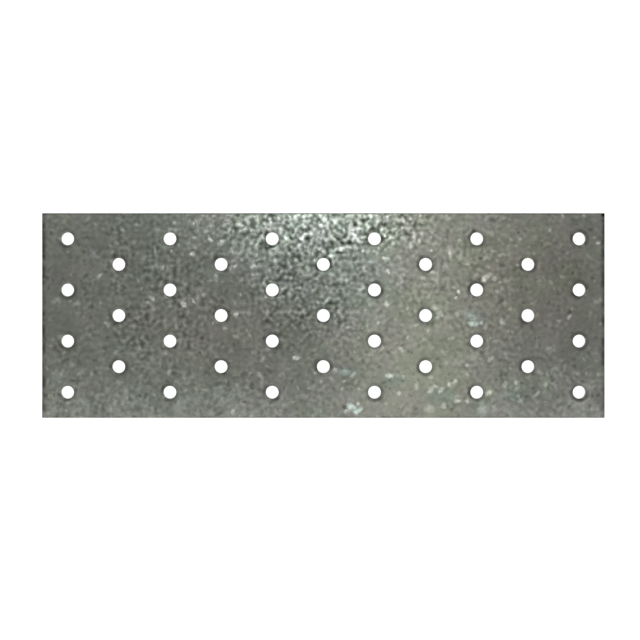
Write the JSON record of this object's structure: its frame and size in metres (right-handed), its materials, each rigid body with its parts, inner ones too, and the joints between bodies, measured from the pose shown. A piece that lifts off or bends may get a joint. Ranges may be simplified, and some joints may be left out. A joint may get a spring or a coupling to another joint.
{
  "type": "mending plate",
  "caption": "Flat rectangular plate of galvanised steel sheet with staggered rows of punched nail holes, for joining timber side by side or end to end.",
  "frame": {"origin": "middle of the back face, the one that lies on the timber", "axes": "+X along the plate's length, +Y across its width, +Z out of the punched front face"},
  "size_m": [0.22, 0.08, 0.002],
  "materials": {
    "galvanised_steel": "hot-dip galvanised sheet with a fine zinc grain, half matt, with bare steel showing on the sheared edges"
  },
  "bodies": {
    "root": {"mending_plate": "galvanised_steel"}
  },
  "joints": []
}
